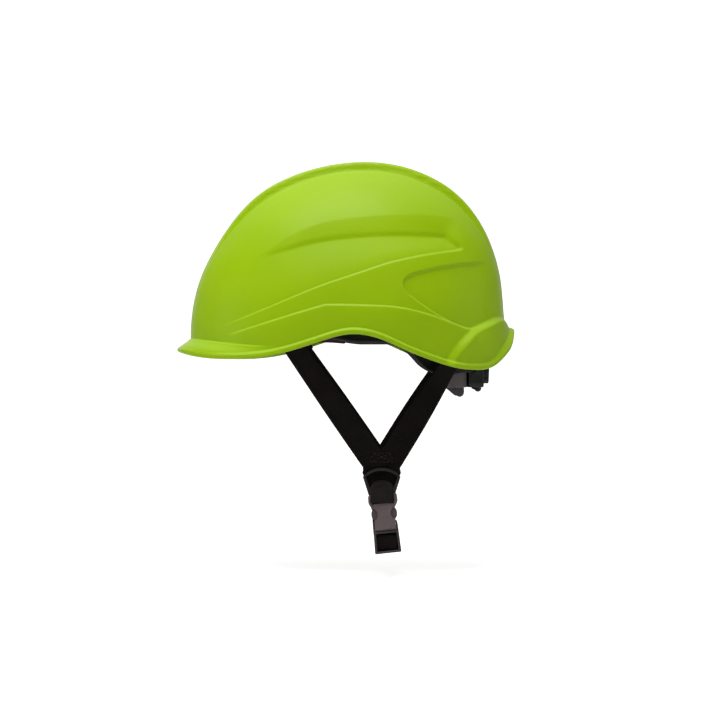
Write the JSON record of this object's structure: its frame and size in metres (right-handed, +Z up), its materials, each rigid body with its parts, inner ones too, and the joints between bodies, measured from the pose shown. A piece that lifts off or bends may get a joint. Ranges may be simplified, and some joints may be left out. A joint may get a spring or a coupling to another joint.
{
  "type": "climbing helmet",
  "caption": "Unvented cap-style climbing helmet with strap suspension, nape ratchet and a buckled chin harness.",
  "frame": {"origin": "middle of the head opening, at the lower edge of the headband", "axes": "+Z up through the crown, -X towards the brow, -Y towards the wearer's left side"},
  "size_m": [0.2779, 0.2114, 0.3215],
  "materials": {
    "shell_plastic": "satin high-visibility green",
    "inner_plastic": "fine moulded grain, near black",
    "cradle_plastic": "fine moulded grain, dark grey",
    "knob_rubber": "soft ribbed grip",
    "webbing": "tight woven polyester webbing",
    "crown_webbing": "woven polyester tape",
    "pad_fabric": "knitted mesh over foam",
    "buckle_plastic": "moulded acetal, warm grey",
    "steel": "plated steel"
  },
  "bodies": {
    "helmet": {"shell": "shell_plastic", "suspension_keys": "inner_plastic", "rear_strap_keys": "inner_plastic", "headband": "inner_plastic", "brow_pad": "pad_fabric", "crown_strap_middle": "crown_webbing", "crown_strap_left": "crown_webbing", "crown_strap_right": "crown_webbing", "crown_pad": "pad_fabric", "nape_pivot_pins": "inner_plastic", "strap_anchor_tabs": "inner_plastic", "strap_anchor_rivets": "steel"},
    "nape_arms": {"nape_arm_left": "inner_plastic", "nape_arm_right": "inner_plastic"},
    "nape_cradle": {"nape_cradle": "cradle_plastic", "nape_pad": "pad_fabric", "ratchet_housing": "cradle_plastic", "ratchet_cover": "inner_plastic", "ratchet_cover_screws": "steel"},
    "ratchet_knob": {"ratchet_knob": "knob_rubber", "ratchet_pinion": "inner_plastic", "pawl_disc": "inner_plastic", "knob_screw": "steel"},
    "rack_left": {"rack_left": "inner_plastic"},
    "rack_right": {"rack_right": "inner_plastic"},
    "harness_left": {"chin_strap_front_left": "webbing", "chin_strap_rear_left": "webbing", "strap_divider_left": "buckle_plastic"},
    "harness_right": {"chin_strap_front_right": "webbing", "chin_strap_rear_right": "webbing", "strap_divider_right": "buckle_plastic"},
    "buckle_female": {"buckle_female": "buckle_plastic", "buckle_loop": "webbing"},
    "buckle_male": {"buckle_male": "buckle_plastic", "chin_web": "webbing"},
    "buckle_latch_front": {"buckle_latch_front": "buckle_plastic"},
    "buckle_latch_rear": {"buckle_latch_rear": "buckle_plastic"}
  },
  "joints": [
    {"name": "nape_tilt", "type": "hinge", "parent": "helmet", "child": "nape_arms", "pos_m": [0.03, 0, 0.014], "axis": [0, 1, 0], "range_deg": [-10, 6]},
    {"name": "nape_adjust", "type": "slide", "parent": "nape_arms", "child": "nape_cradle", "axis": [1, 0, 0], "range_m": [-0.02, 0.006], "deforming": ["nape_arm_left", "nape_arm_right"]},
    {"name": "ratchet_turn", "type": "hinge", "parent": "nape_cradle", "child": "ratchet_knob", "pos_m": [0.114, 0, -0.016], "axis": [1, 0, 0], "range_deg": [-192, 58]},
    {"name": "rack_left_slide", "type": "slide", "parent": "nape_cradle", "child": "rack_left", "axis": [0, 1, 0], "range_m": [-0.0062, 0.0202]},
    {"name": "rack_right_slide", "type": "slide", "parent": "nape_cradle", "child": "rack_right", "axis": [0, 1, 0], "range_m": [-0.0202, 0.0062]},
    {"name": "harness_left_swing", "type": "hinge", "parent": "helmet", "child": "harness_left", "pos_m": [0.0292, -0.084, 0.008], "axis": [1, 0, 0], "range_deg": [-12, 12], "deforming": ["chin_strap_front_left", "chin_strap_rear_left", "chin_strap_front_right", "chin_strap_rear_right"]},
    {"name": "harness_right_swing", "type": "hinge", "parent": "helmet", "child": "harness_right", "pos_m": [0.0292, 0.084, 0.008], "axis": [1, 0, 0], "range_deg": [-12.5, 12.5]},
    {"name": "buckle_hang", "type": "hinge", "parent": "harness_left", "child": "buckle_female", "pos_m": [0.0292, -0.084, -0.1214], "axis": [1, 0, 0], "range_deg": [-12.5, 12.5]},
    {"name": "buckle_release", "type": "slide", "parent": "buckle_female", "child": "buckle_male", "axis": [0.1045, 0, -0.9945], "range_m": [0, 0.024], "deforming": ["buckle_latch_front", "buckle_latch_rear", "chin_web"]},
    {"name": "latch_front_press", "type": "hinge", "parent": "buckle_male", "child": "buckle_latch_front", "pos_m": [0.02694, -0.084, -0.15009], "axis": [0, 1, 0], "range_deg": [0, 9]},
    {"name": "latch_rear_press", "type": "hinge", "parent": "buckle_male", "child": "buckle_latch_rear", "pos_m": [0.03807, -0.084, -0.14892], "axis": [0, 1, 0], "range_deg": [-9.2, 0.2]}
  ],
  "couplings": [
    {"joint": "ratchet_turn", "follows": "nape_adjust", "rad_per_m": 166.67},
    {"joint": "rack_left_slide", "follows": "nape_adjust", "ratio": -1},
    {"joint": "rack_right_slide", "follows": "nape_adjust", "ratio": 1},
    {"joint": "harness_right_swing", "follows": "harness_left_swing", "ratio": 1},
    {"joint": "buckle_hang", "follows": "harness_left_swing", "ratio": -1},
    {"joint": "latch_rear_press", "follows": "latch_front_press", "ratio": -1}
  ]
}
